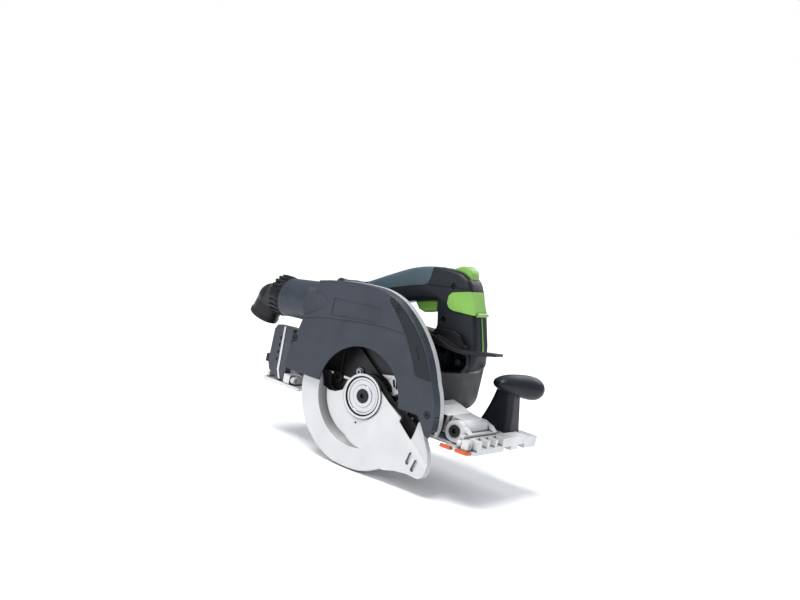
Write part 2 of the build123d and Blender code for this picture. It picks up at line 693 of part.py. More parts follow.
screw_spots = ((-72, 106), (-20, 118), (60, 149), (56, 108))
foot_screw = (90.0, 66.0)


def hollow_handle(core_near, core_far, foot_near, foot_far):
    """Room inside a half for the switch, the board and the controls."""
    slab(handle_core, core_near, core_far, mode=Mode.SUBTRACT)
    slab(foot_core, foot_near, foot_far, mode=Mode.SUBTRACT)
    add(soft_grip.part, mode=Mode.SUBTRACT)
    add(seam_strip.part, mode=Mode.SUBTRACT)
    block((6, 41.5), (handle_mid - 9.5, handle_mid + 9.5), (104, 140.4), Mode.SUBTRACT)
    block((47.5, 77), (handle_mid - 9.5, handle_mid + 9.5), (150, 180), Mode.SUBTRACT)
    rod(socket_tail_r, -112, -86, (handle_mid, socket_z), Mode.SUBTRACT)


with BuildPart() as handle_right:
    slab(handle_sketch, 41, handle_mid)
    slab(foot_sketch, 37, handle_mid)
    hollow_handle(45.5, handle_mid, 40, handle_mid)
    for spot in screw_spots:
        disc(4.0, 45, handle_mid, spot)
        disc(3.2, 36, 45, spot, Mode.SUBTRACT)
        disc(1.6, 40, handle_mid, spot, Mode.SUBTRACT)
    disc(4.0, 39, handle_mid, foot_screw)
    disc(3.2, 36, 45, foot_screw, Mode.SUBTRACT)
    disc(1.6, 40, handle_mid, foot_screw, Mode.SUBTRACT)
save(handle_right, "handle_right")

with BuildPart() as handle_left:
    slab(handle_sketch, handle_mid, 73)
    slab(foot_sketch, handle_mid, 81)
    hollow_handle(handle_mid, 68.5, handle_mid, 78)
    block((-29, 6), (67.5, 80), (78.6, 86.9))
    disc(10.6, dial_y[0] - 0.5, dial_y[1] + 0.5, dial_at, Mode.SUBTRACT)
    disc(2.05, 68.3, 78.7, dial_at, Mode.SUBTRACT)
    for spot in screw_spots:
        disc(4.0, handle_mid, 69, spot)
        disc(1.6, handle_mid, 67, spot, Mode.SUBTRACT)
    disc(4.0, handle_mid, 79, foot_screw)
    disc(1.6, handle_mid, 67, foot_screw, Mode.SUBTRACT)
save(handle_left, "handle_left")

with BuildPart() as handle_screws:
    for spot in (*screw_spots, foot_screw):
        disc(3.1, 42.5, 45, spot)
        disc(1.55, 45, 66.5, spot)
        with BuildSketch(side(44)):
            with Locations(spot):
                RegularPolygon(1.4, 6)
        extrude(amount=2, mode=Mode.SUBTRACT)
save(handle_screws, "handle_screws")

# ---- guard lever --------------------------------------------------------------------
lever_y = (17.5, 34.0)
with BuildPart() as guard_lever:
    prism([(49, 72), (60, 84), (68, 83), (82, 80.5), (98, 79.5), (118, 82.5), (134, 85.5), (147.5, 88.6),
           (147.5, 91.6), (132, 89.4), (117, 86.4), (98, 84), (84, 85), (70, 89), (60, 91), (49, 88)],
          lever_y[0], lever_y[1])
    prism([(52, 89), (54, 97), (78, 100), (88, 97), (98, 85), (78, 84)], 31.5, lever_y[1])
    disc(9.0, lever_y[0], 24, lever_pivot)
    disc(7.2, 24.1, 36, lever_pivot, Mode.SUBTRACT)
    block((30, 49.5), (24, 40), (60, 100), Mode.SUBTRACT)
    disc(4.0 + fit, 15, 36, lever_pivot, Mode.SUBTRACT)
save(guard_lever, "guard_lever")

with BuildPart() as lever_pin:
    disc(4.0, housing_back, 26.0, lever_pivot)
    disc(6.5, 24.4, 26.5, lever_pivot)
save(lever_pin, "lever_pin")

# ---- depth hinge --------------------------------------------------------------------
ear_r = 12.5
barrel_y = (27.4, 71.8)
with BuildPart() as pivot_arm:
    disc(ear_r, barrel_y[0], barrel_y[1], depth_pivot)
    prism([(118, 5.5), (104, 7), (86, 13), (76, 15), (72, 12), (72, 2), (86, -8), (100, -14),
           (112, -18)], barrel_y[0], barrel_y[1])
    prism([(104, 7), (90, 12), (62, 20), (60, 0), (72, -7), (86, -11), (100, -14)], housing_back, barrel_y[0])
    block((30, 71.5), (37.5, 80), (-20, 40), Mode.SUBTRACT)
    disc(ear_r + 1.5, 10, barrel_y[0], depth_pivot, Mode.SUBTRACT)
    disc(8.0, 20, 80, depth_pivot, Mode.SUBTRACT)
save(pivot_arm, "pivot_arm")

with BuildPart() as pivot_bush:
    disc(8.0, barrel_y[0], barrel_y[1], depth_pivot)
    disc(5.0 + fit, 20, 80, depth_pivot, Mode.SUBTRACT)
save(pivot_bush, "pivot_bush")

# ---- bevel frame --------------------------------------------------------------------
near_ear = (16.6, 27.0)
far_ear = (72.2, 82.0)
far_ear_r = 10.2
frame_low = -19.5
frame_over_groove = -17.4
bevel_bolt = polar(50, 20, bevel_axis)
with BuildPart() as tilt_frame:
    disc(ear_r, near_ear[0], near_ear[1], depth_pivot)
    disc(far_ear_r, far_ear[0], far_ear[1], depth_pivot)
    for ear, low, top in ((near_ear, frame_low, 5.5), (far_ear, frame_over_groove, 3.2)):
        prism([(118, low), (118, top), (131, -1), (137, -6), (137, low)], ear[0], ear[1])
    block((131.5, 137), (bevel_axis[0], 73), (frame_low, -6))
    rod(4.4, 131.5, 137, bevel_axis)
    block((-130, 118), (74.0, 82.0), (frame_over_groove, -12.4))
    block((-140, -128.4), (15.4, 73.0), (frame_low, -9))
    block((-128.4, -111), (16.2, 73.0), (frame_low, -9))
    block((-140, -111), (72.0, 82.0), (frame_over_groove, -9))
    block((-116.5, -111), (8, 16.2), (frame_low, -11.2))
    rod(4.4, -116.5, -111, bevel_axis)
    block((-140.5, -132), (46, 64), (-12, 10))
    rod(2.5 + fit, 128, 140, bevel_axis, Mode.SUBTRACT)
    rod(2.5 + fit, -120, -108, bevel_axis, Mode.SUBTRACT)
    rod(3.15, -150, -131, bevel_bolt, Mode.SUBTRACT)
    disc(5.02, 10, 85, depth_pivot, Mode.SUBTRACT)
    disc(7.2, 10, 21, depth_pivot, Mode.SUBTRACT)
save(tilt_frame, "tilt_frame")

with BuildPart() as pivot_bolt:
    disc(7.0, 15.4, 21.0, depth_pivot)
    disc(5.0, 21.0, far_ear[1] + 1, depth_pivot)
    disc(7.5, far_ear[1], far_ear[1] + 4.5, depth_pivot)
    with BuildSketch(side(18.5)):
        with Locations(depth_pivot):
            RegularPolygon(3.4, 6)
    extrude(amount=4, mode=Mode.SUBTRACT)
save(pivot_bolt, "pivot_bolt")

arc_r = (232.0, 242.0)
arc_y = (28.0, 34.0)
with BuildPart() as depth_arc:
    with BuildSketch(side(arc_y[1])):
        with Locations(depth_pivot):
            Circle(arc_r[1])
            Circle(arc_r[0], mode=Mode.SUBTRACT)
        with BuildLine():
            Polyline(depth_pivot, polar(300, 148, depth_pivot), polar(300, 180.4, depth_pivot), close=True)
        make_face(mode=Mode.INTERSECT)
    extrude(amount=arc_y[1] - arc_y[0])
save(depth_arc, "depth_arc")

with BuildPart() as rear_post:
    with BuildSketch(side(15.4)):
        with BuildLine():
            Polyline((-158, 40), (-154, 46), (-130, 48), (-128.4, 46), (-128.4, -19), (-138, -19.4), (-154, -12),
                     (-158, -2), close=True)
        make_face()
    extrude(amount=10)
    for notch in range(4):
        block((-146.5, -144.5), (5.4, 7.5), (2 + 9 * notch, 6 + 9 * notch), Mode.SUBTRACT)
    block((-159, -154.5), (8.5, 12.2), (-4, 42), Mode.SUBTRACT)
save(rear_post, "rear_post")

with BuildPart() as depth_scale:
    with BuildSketch(side(5.4)):
        with BuildLine():
            Polyline((-143.5, 46.4), (-140.5, 46.8), (-138.4, -8), (-134, -18.6), (-137, -18.4), (-141.4, -8),
                     close=True)
        make_face()
    extrude(amount=0.6)
save(depth_scale, "depth_scale")

with BuildPart() as depth_stop:
    block((-162.5, -158.4), (5.6, 15.2), (-3, 7))
    block((-158.5, -155), (8.9, 11.8), (-2.5, 6.5))
save(depth_stop, "depth_stop")

with BuildPart() as bevel_knob:
    rod(3.1, -165, -131.5, bevel_bolt)
    rod(10.0, -166, -152, bevel_bolt)
    with BuildSketch(cross(-166)):
        with Locations(bevel_bolt):
            with PolarLocations(10, 6):
                Circle(3.2)
    extrude(amount=13)
save(bevel_knob, "bevel_knob")

# ---- depth clamp --------------------------------------------------------------------
clamp_at = (-118.0, 8.0)
with BuildPart() as depth_clamp:
    block((-128, -96), (housing_back, 42), (-1, 20))
    with BuildSketch(side(arc_y[1] + gap)):
        with Locations(depth_pivot):
            Circle(arc_r[1] + gap)
            Circle(arc_r[0] - gap, mode=Mode.SUBTRACT)
    extrude(amount=arc_y[1] - arc_y[0] + 2 * gap, mode=Mode.SUBTRACT)
    disc(2.6, 35, 43, clamp_at, Mode.SUBTRACT)
save(depth_clamp, "depth_clamp")

with BuildPart() as depth_clamp_lever:
    disc(2.5, 35.2, 43, clamp_at)
    disc(8.0, 42.6, 50, clamp_at)
    prism([(-122, 2), (-114, 2), (-108, 36), (-114, 38), (-119, 36)], 43.5, 49)
save(depth_clamp_lever, "depth_clamp_lever")

# ---- base ---------------------------------------------------------------------------
base_front, base_rear = 153.0, -158.0
base_near, base_far = 2.0, 163.0
rail_knob_y = 96.5
quadrant_foot = -14.5
with BuildPart() as base_plate:
    with BuildSketch(Plane.XY.offset(base_z)):
        with BuildLine():
            Polyline((base_rear, base_near), (-100, base_near), (-100, 21), (117.6, 21), (117.6, base_near),
                     (base_front - 9, base_near), (base_front, base_near + 9), (base_front, base_far),
                     (base_rear, base_far), close=True)
        make_face()
    extrude(amount=skin_z - base_z)
    ease(8.0, base_plate.edges().filter_by(Axis.Z).sort_by(Axis.Y)[-2:])
    rib_top = -15.0
    block((base_rear + 8, base_front - 8), (base_far - 6, base_far - 2.5), (skin_z, rib_top))
    block((base_rear + 2, base_rear + 5.5), (base_near + 4, base_far - 8), (skin_z, rib_top))
    block((-150, base_front), (75, 103), (skin_z, -18))
    block((-150, base_front), (109, 131), (skin_z, -17))
    for x in (-96, -32, 32, 96):
        block((x - 1.5, x + 1.5), (98, base_far - 4), (skin_z, -17))
    block((137.8, base_front), (16, 128), (skin_z, -9))
    block((128, base_front), (92, base_far - 6), (skin_z, -12))
    for spot in (30, 48, 66):
        block((141, base_front + 1), (spot - 6.5, spot + 6.5), (-18, -8), Mode.SUBTRACT)
    block((138, 146.5), (3, 13), (skin_z, -9.5))
    block((-127, -117.5), (3, 12.5), (skin_z, -9.5))
    block((-153, -145), (44, 66), (skin_z, quadrant_foot))
    block((-27, 27), (20, 42), (base_z - 1, skin_z + 1), Mode.SUBTRACT)
    block((base_rear - 1, base_front + 1), (78, 95), (base_z - 1, base_z + 5), Mode.SUBTRACT)
    block((base_rear - 1, base_front + 1), (112, 128), (base_z - 1, base_z + 5.5), Mode.SUBTRACT)
    block((-90, 90), (140, 160), (base_z - 1, base_z + 1.5), Mode.SUBTRACT)
    rod(2.5, 136, 147, bevel_axis, Mode.SUBTRACT)
    rod(2.5, -128, -117, bevel_axis, Mode.SUBTRACT)
    for x in (-120, 110):
        with BuildSketch(Plane.XY.offset(base_z + 5)):
            with Locations((x, rail_knob_y)):
                Circle(4.2)
        extrude(amount=10, mode=Mode.SUBTRACT)
save(base_plate, "base_plate")

with BuildPart() as bevel_pins:
    rod(2.5, 131.6, 146.5, bevel_axis)
    rod(2.5, -127, -111, bevel_axis)
save(bevel_pins, "bevel_pins")

with BuildPart() as bevel_quadrant:
    with BuildSketch(cross(-149)):
        with Locations(bevel_axis):
            Circle(58)
            Circle(42, mode=Mode.SUBTRACT)
        with BuildLine():
            Polyline(bevel_axis, polar(90, -3, bevel_axis), polar(90, 40, bevel_axis), polar(90, 75.5, bevel_axis),
                     close=True)
        make_face(mode=Mode.INTERSECT)
    extrude(amount=4)
    block((-160, -140), (40, 70), (-30, quadrant_foot), Mode.SUBTRACT)
    with BuildSketch(cross(-150)):
        with BuildLine():
            slot_path = CenterArc(bevel_axis, 50, 19, 52)
        SlotArc(slot_path, 6.8)
    extrude(amount=6, mode=Mode.SUBTRACT)
save(bevel_quadrant, "bevel_quadrant")

with BuildPart() as edge_strips:
    block((113.5, 127), (-2.0, 1.9), (base_z + 0.4, skin_z))
    block((117.7, 127), (1.8, base_near), (base_z + 0.4, skin_z))
    with BuildSketch(Plane.XY.offset(base_z + 0.4)):
        with BuildLine():
            Polyline((134, -1.5), (147, -1.5), (150, 1), (150, 8), (144, base_near), (134, base_near), close=True)
        make_face()
    extrude(amount=3.6)
save(edge_strips, "edge_strips")

for label, x in (("rail_knob_rear", -120), ("rail_knob_front", 110)):
    with BuildPart() as rail_knob:
        with BuildSketch(Plane.XY.offset(-17.6)):
            with Locations((x, rail_knob_y)):
                Circle(7)
        extrude(amount=6)
        with BuildSketch(Plane.XY.offset(-19.6)):
            with Locations((x, rail_knob_y)):
                Circle(4.1)
        extrude(amount=3)
        with BuildSketch(Plane.XY.offset(-11.6)):
            with Locations((x, rail_knob_y)):
                Rectangle(11, 2.6)
        extrude(amount=1.4)
    save(rail_knob, label)

# ---- front handle -------------------------------------------------------------------
stem_foot = -12.0
with BuildPart() as aux_stem:
    with BuildSketch(Plane.XY.offset(stem_foot)):
        with Locations((113, 128)):
            RectangleRounded(46, 32, 6)
    with BuildSketch(Plane.XY.offset(12)):
        with Locations((116, 127)):
            RectangleRounded(34, 28, 7)
    with BuildSketch(Plane.XY.offset(36)):
        with Locations((118, 124)):
            RectangleRounded(25, 26, 8)
    loft()
save(aux_stem, "aux_stem")

grip_start = (119.0, 108.0, 44.5)
grip_end = (137.0, 145.0, 43.5)
grip_run = Vector(*grip_end) - Vector(*grip_start)
grip_plane = Plane(origin=grip_start, x_dir=grip_run.cross(Vector(0, 0, 1)), z_dir=grip_run)
with BuildPart() as aux_grip:
    with BuildSketch(grip_plane):
        Circle(14.5)
    with BuildSketch(grip_plane.offset(grip_run.length)):
        Circle(15.8)
    loft()
    with Locations(grip_plane.location):
        Sphere(14.5)
    with Locations(grip_plane.offset(grip_run.length).location):
        Sphere(15.8)
    add(aux_stem.part, mode=Mode.SUBTRACT)
save(aux_grip, "aux_grip")
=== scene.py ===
import json
from math import atan2, cos, hypot, pi, radians, sin

import bmesh
import bpy
from mathutils import Matrix, Vector


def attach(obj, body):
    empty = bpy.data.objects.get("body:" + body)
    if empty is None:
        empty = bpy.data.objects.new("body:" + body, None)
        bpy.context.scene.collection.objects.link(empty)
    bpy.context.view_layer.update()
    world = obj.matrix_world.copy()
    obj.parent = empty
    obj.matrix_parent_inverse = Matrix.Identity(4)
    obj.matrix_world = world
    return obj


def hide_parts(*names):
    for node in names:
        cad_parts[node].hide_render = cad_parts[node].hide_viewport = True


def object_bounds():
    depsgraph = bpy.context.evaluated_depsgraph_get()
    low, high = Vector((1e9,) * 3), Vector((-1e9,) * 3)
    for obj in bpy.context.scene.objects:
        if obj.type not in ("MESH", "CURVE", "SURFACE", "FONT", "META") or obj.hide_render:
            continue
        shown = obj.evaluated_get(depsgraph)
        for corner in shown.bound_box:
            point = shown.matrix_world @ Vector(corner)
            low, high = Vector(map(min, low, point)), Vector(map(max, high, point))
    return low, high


# Looks of a portable circular saw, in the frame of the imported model: +X is the cutting
# direction, +Y points to the motor side and +Z is up. Objects are in metres. Outlines, profiles
# and the grip's rings are written in millimetres.

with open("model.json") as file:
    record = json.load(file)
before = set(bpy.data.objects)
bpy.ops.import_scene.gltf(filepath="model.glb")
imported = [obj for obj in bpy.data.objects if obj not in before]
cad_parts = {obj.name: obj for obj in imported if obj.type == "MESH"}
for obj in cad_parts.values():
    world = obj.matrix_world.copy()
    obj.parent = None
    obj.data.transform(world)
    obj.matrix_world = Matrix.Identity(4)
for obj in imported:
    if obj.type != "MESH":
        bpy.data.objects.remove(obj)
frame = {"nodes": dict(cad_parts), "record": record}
cad_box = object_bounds()
nodes = frame["nodes"]
MM = 0.001


def linked(name, data):
    """A new object in the scene."""
    thing = bpy.data.objects.new(name, data)
    bpy.context.scene.collection.objects.link(thing)
    return thing


# ---- camera -------------------------------------------------------------------------
SENSOR = 36.0
LENS = 54.9
CAMERA_AT = (0.785, -1.171, 0.293)
CAMERA_RIGHT = (0.802, 0.557, 0.216)
CAMERA_BACK = (0.544, -0.830, 0.122)


def make_camera():
    """Camera at the photograph's angle, looking down at the blade side from the front."""
    data = bpy.data.cameras.new("camera")
    camera = linked("camera", data)
    bpy.context.scene.camera = camera
    data.sensor_width = SENSOR
    data.lens = LENS
    data.clip_start = 0.05
    data.clip_end = 100.0
    right = Vector(CAMERA_RIGHT).normalized()
    back = Vector(CAMERA_BACK)
    back = (back - back.dot(right) * right).normalized()
    up = back.cross(right)
    turn = Matrix((right, up, back)).transposed().to_4x4()
    camera.matrix_world = Matrix.Translation(CAMERA_AT) @ turn


# ---- stage and light ----------------------------------------------------------------
FLOOR_GAP = 0.0005                    # between the floor and the saw's lowest point
FLOOR_HALF = 40.0
WORLD_LIGHT = 0.5                     # light from the surroundings; the camera sees plain white
SUN_FROM = (-0.18, -0.42, 1.0)
SUN_POWER = 2.7
SUN_WIDTH = 26                        # degrees; a wide sun gives soft shadows
LAMP_AIM = (0, 0.04, 0.04)
# name, place, size and power of each soft lamp
LAMPS = (("soft_front", (-0.2, -1.3, 0.55), 0.7, 4.0),
         ("soft_back", (0.1, 1.0, 0.9), 0.9, 7.0))


def shining_from(direction):
    """Rotation of a lamp that shines from a direction."""
    return Vector(direction).to_track_quat("Z", "Y").to_matrix().to_4x4()


def make_floor():
    """Plain pale floor that reaches the horizon."""
    floor_z = cad_box[0].z - FLOOR_GAP
    corners = [(x * FLOOR_HALF, y * FLOOR_HALF, floor_z)
               for x, y in ((-1, -1), (1, -1), (1, 1), (-1, 1))]
    mesh = bpy.data.meshes.new("floor")
    mesh.from_pydata(corners, [], [(0, 1, 2, 3)])
    floor = linked("floor", mesh)
    material = bpy.data.materials.new("floor_paper")
    material.use_nodes = True
    shader = material.node_tree.nodes["Principled BSDF"]
    shader.inputs["Base Color"].default_value = (0.92, 0.92, 0.93, 1)
    shader.inputs["Roughness"].default_value = 0.75
    shader.inputs["Specular IOR Level"].default_value = 0.15
    mesh.materials.append(material)


def make_world():
    """White surroundings that give a dimmer, slightly blue light."""
    world = bpy.data.worlds.new("studio")
    bpy.context.scene.world = world
    world.use_nodes = True
    tree = world.node_tree
    light = tree.nodes["Background"]
    light.inputs["Color"].default_value = (0.90, 0.95, 1, 1)
    light.inputs["Strength"].default_value = WORLD_LIGHT
    backdrop = tree.nodes.new("ShaderNodeBackground")
    backdrop.inputs["Color"].default_value = (1, 1, 1, 1)
    seen = tree.nodes.new("ShaderNodeLightPath")
    mix = tree.nodes.new("ShaderNodeMixShader")
    tree.links.new(seen.outputs["Is Camera Ray"], mix.inputs["Fac"])
    tree.links.new(light.outputs["Background"], mix.inputs[1])
    tree.links.new(backdrop.outputs["Background"], mix.inputs[2])
    tree.links.new(mix.outputs["Shader"], tree.nodes["World Output"].inputs["Surface"])
    bpy.context.scene.view_settings.view_transform = "Standard"


def make_lights():
    """One wide sun from above the blade side, and two soft lamps."""
    sun = bpy.data.lights.new("key", "SUN")
    sun.energy = SUN_POWER
    sun.angle = radians(SUN_WIDTH)
    linked("key", sun).matrix_world = shining_from(SUN_FROM)
    for name, place, size, power in LAMPS:
        data = bpy.data.lights.new(name, "AREA")
        data.size = size
        data.energy = power
        aim = Vector(place) - Vector(LAMP_AIM)
        linked(name, data).matrix_world = Matrix.Translation(place) @ shining_from(aim)


# ---- materials ----------------------------------------------------------------------
# scales of the noises, in cells per metre
CLOUDS = 28
GRIT = 1300
SCUFFS = 260
GLOSS = 70
GLOSS_DRIFT = 0.08
EDGE_RADIUS = 0.0006                  # of the rounding that edges show
GRAIN_HEIGHT = 0.0002
# reach of the painted shade that darkens gaps and inner corners
PAINTED_SHADE_REACH = 0.003                     # of the darkness in a gap or corner


class Surface:
    """Builds one procedural material: drifting colour, grain, worn edges, painted shade in gaps, uneven
    gloss.
    """

    def __init__(self, name, colour, roughness, metallic, specular):
        self.material = bpy.data.materials.new(name)
        self.material.use_nodes = True
        self.tree = self.material.node_tree
        self.shader = self.tree.nodes["Principled BSDF"]
        self.shader.inputs["Metallic"].default_value = metallic
        self.shader.inputs["Specular IOR Level"].default_value = specular
        self.colour = colour
        self.roughness = roughness
        self.place = self.add("ShaderNodeTexCoord").outputs["Object"]

    def add(self, kind, **settings):
        node = self.tree.nodes.new(kind)
        for key, value in settings.items():
            setattr(node, key, value)
        return node

    def link(self, source, target):
        self.tree.links.new(source, target)

    def noise(self, scale, detail=3.0, stretch=(1, 1, 1)):
        """Noise over the object's own coordinates."""
        mapping = self.add("ShaderNodeMapping")
        mapping.inputs["Scale"].default_value = stretch
        self.link(self.place, mapping.inputs["Vector"])
        noise = self.add("ShaderNodeTexNoise")
        noise.inputs["Scale"].default_value = scale
        noise.inputs["Detail"].default_value = detail
        self.link(mapping.outputs["Vector"], noise.inputs["Vector"])
        return noise.outputs["Fac"]

    def ramp(self, value, low, high, to_low=0.0, to_high=1.0):
        """Maps a value from one range to another, clamped."""
        node = self.add("ShaderNodeMapRange")
        for key, number in (("From Min", low), ("From Max", high), ("To Min", to_low), ("To Max", to_high)):
            node.inputs[key].default_value = number
        self.link(value, node.inputs["Value"])
        return node.outputs["Result"]

    def math(self, operation, first, second):
        """A Math node of two values."""
        node = self.add("ShaderNodeMath", operation=operation)
        self.link(first, node.inputs[0])
        self.link(second, node.inputs[1])
        return node.outputs["Value"]

    def mix(self, factor, first, second, **settings):
        """Mix of two colours or two values. Each argument is a constant or a node's output."""
        node = self.add("ShaderNodeMix", **settings)
        for key, value in (("Factor", factor), ("A", first), ("B", second)):
            if isinstance(value, bpy.types.NodeSocket):
                self.link(value, node.inputs[key])
            else:
                node.inputs[key].default_value = value
        return node.outputs["Result"]

    def edge(self):
        """1 on convex and concave edges, 0 on flat stretches, and the rounded normal."""
        bevel = self.add("ShaderNodeBevel", samples=6)
        bevel.inputs["Radius"].default_value = EDGE_RADIUS
        plain = self.add("ShaderNodeNewGeometry")
        dot = self.add("ShaderNodeVectorMath", operation="DOT_PRODUCT")
        self.link(bevel.outputs["Normal"], dot.inputs[0])
        self.link(plain.outputs["Normal"], dot.inputs[1])
        return self.ramp(dot.outputs["Value"], 0.99, 0.86), bevel.outputs["Normal"]

    def with_painted_gap_shade(self, colour):
        """The colour with painted shade: darker in seams, recesses and inner corners, by how closed in each
        point is.
        """
        open_sky = self.add("ShaderNodeAmbientOcclusion", samples=6)
        open_sky.inputs["Distance"].default_value = PAINTED_SHADE_REACH
        shade = self.ramp(open_sky.outputs["AO"], 0.55, 0.97, 0.1, 1.0)
        return self.mix(1.0, colour, shade, data_type="RGBA", blend_type="MULTIPLY")

    def finish(self, grain=900, depth=0.06, drift=0.12, wear=(0.3, 0.3, 0.3), wear_amount=0.35,
               stretch=(1, 1, 1), speckle=0.0):
        """Links the colour, roughness and normal of the surface."""
        edge, rounded = self.edge()
        tone = self.ramp(self.noise(CLOUDS, 4.0), 0.35, 0.65)
        if speckle:
            grit = self.ramp(self.noise(GRIT, 2.0), 0.35, 0.65)
            tone = self.mix(speckle, tone, grit, data_type="FLOAT")
        darker = (*[channel * (1 - drift) for channel in self.colour], 1)
        lighter = (*[min(1, channel * (1 + drift)) for channel in self.colour], 1)
        base = self.mix(tone, darker, lighter, data_type="RGBA", blend_type="MIX")
        scuffs = self.ramp(self.noise(SCUFFS, 5.0), 0.45, 0.7, 0.0, wear_amount)
        worn = self.math("MULTIPLY", edge, scuffs)
        colour = self.mix(worn, base, (*wear, 1), data_type="RGBA", blend_type="MIX")
        # the base colour carries painted shade in seams, recesses and inner corners
        self.link(self.with_painted_gap_shade(colour), self.shader.inputs["Base Color"])
        rough = self.ramp(self.noise(GLOSS, 6.0), 0.3, 0.7,
                          self.roughness - GLOSS_DRIFT, self.roughness + GLOSS_DRIFT)
        self.link(rough, self.shader.inputs["Roughness"])
        bump = self.add("ShaderNodeBump")
        bump.inputs["Strength"].default_value = depth
        bump.inputs["Distance"].default_value = GRAIN_HEIGHT
        self.link(self.noise(grain, 3.0, stretch), bump.inputs["Height"])
        self.link(rounded, bump.inputs["Normal"])
        self.link(bump.outputs["Normal"], self.shader.inputs["Normal"])


BRIGHT_WEAR = (0.85, 0.85, 0.86)
# colour, roughness, metallic, specular level, and the settings of the finish
FINISHES = {
    "shell_plastic": ((0.027, 0.033, 0.047), 0.40, 0.0, 0.4,
                      dict(grain=1500, depth=0.6, drift=0.3, wear=(0.12, 0.13, 0.15), speckle=0.5)),
    # handle_plastic is the shell plastic made darker: painted shade for the handle, motor and grips
    "handle_plastic": ((0.010, 0.013, 0.018), 0.38, 0.0, 0.3,
                       dict(grain=1500, depth=0.35, drift=0.16, wear=(0.08, 0.09, 0.10), speckle=0.2)),
    "black_plastic": ((0.006, 0.006, 0.007), 0.36, 0.0, 0.35,
                      dict(grain=1600, depth=0.3, wear=(0.06, 0.06, 0.065))),
    "soft_rubber": ((0.045, 0.078, 0.100), 0.5, 0.0, 0.5,
                    dict(grain=2200, depth=0.3, wear=(0.08, 0.1, 0.11))),
    "green_plastic": ((0.21, 0.45, 0.075), 0.36, 0.0, 0.5,
                      dict(grain=1200, depth=0.1, drift=0.10, wear=(0.32, 0.6, 0.12))),
    "orange_plastic": ((0.68, 0.085, 0.02), 0.35, 0.0, 0.5,
                       dict(grain=1200, depth=0.1, drift=0.06, wear=(0.8, 0.3, 0.15))),
    "bracket_plastic": ((0.050, 0.055, 0.070), 0.45, 0.1, 0.5,
                        dict(grain=700, depth=0.5, drift=0.2, wear=(0.3, 0.3, 0.32), speckle=0.3)),
    "cast_alloy": ((0.58, 0.585, 0.595), 0.40, 0.25, 0.5,
                   dict(grain=1500, depth=0.3, drift=0.05, wear=(0.8, 0.8, 0.82), wear_amount=0.5)),
    "guard_alloy": ((0.60, 0.605, 0.61), 0.42, 0.1, 0.5,
                    dict(grain=1500, depth=0.3, drift=0.04, wear=BRIGHT_WEAR, wear_amount=0.5)),
    "steel_bright": ((0.72, 0.73, 0.74), 0.35, 0.3, 0.5,
                     dict(grain=1300, depth=0.3, drift=0.06, wear=BRIGHT_WEAR)),
    "base_alloy": ((0.66, 0.665, 0.67), 0.38, 0.35, 0.5,
                   dict(grain=1100, depth=0.35, drift=0.08, wear=BRIGHT_WEAR, wear_amount=0.5)),
    "dark_casting": ((0.009, 0.009, 0.010), 0.36, 0.2, 0.5,
                     dict(grain=700, depth=0.4, wear=(0.10, 0.10, 0.11))),
    "flange_metal": ((0.60, 0.61, 0.62), 0.24, 1.0, 0.5,
                     dict(grain=900, depth=0.15, drift=0.06, wear=(0.8, 0.8, 0.8), stretch=(1, 6, 1))),
    "steel": ((0.40, 0.41, 0.43), 0.30, 1.0, 0.5,
              dict(grain=1500, depth=0.15, drift=0.1, wear=(0.7, 0.7, 0.7))),
    "black_steel": ((0.025, 0.026, 0.028), 0.34, 0.7, 0.5,
                    dict(grain=1500, depth=0.2, wear=(0.3, 0.3, 0.31), wear_amount=0.6)),
    "laminations": ((0.20, 0.13, 0.09), 0.5, 0.6, 0.5,
                    dict(grain=900, depth=0.5, stretch=(0.1, 4, 0.1))),
    "bronze": ((0.50, 0.30, 0.12), 0.35, 1.0, 0.5, dict(grain=900, depth=0.15)),
    "board": ((0.02, 0.12, 0.04), 0.4, 0.0, 0.5, dict(grain=600, depth=0.3)),
}
# nodes that look different from their material slot
OWN_LOOKS = {
    "lower_guard": "guard_alloy",
    "clamp_screw": "black_steel",
    "pivot_bolt": "black_steel",
    "inner_flange": "black_steel",
    # handle_plastic on these nodes is the shell plastic made darker, as painted shade
    "aux_stem": "handle_plastic",
    "aux_grip": "handle_plastic",
    "motor_housing": "handle_plastic",
    "motor_end_cap": "handle_plastic",
    "cover_strip": "handle_plastic",
}
# colour of the painted shade on the guard's inner walls and in its slots
PAINTED_INNER_SHADE = (0.02, 0.02, 0.022, 1)
SLOT_ROOM = {"X": (0.0790, 0.0986), "Z": (-0.0632, -0.0384)}    # around the guard's two slots
FADE = 0.0002                         # width of the change from bright to dark around the slots


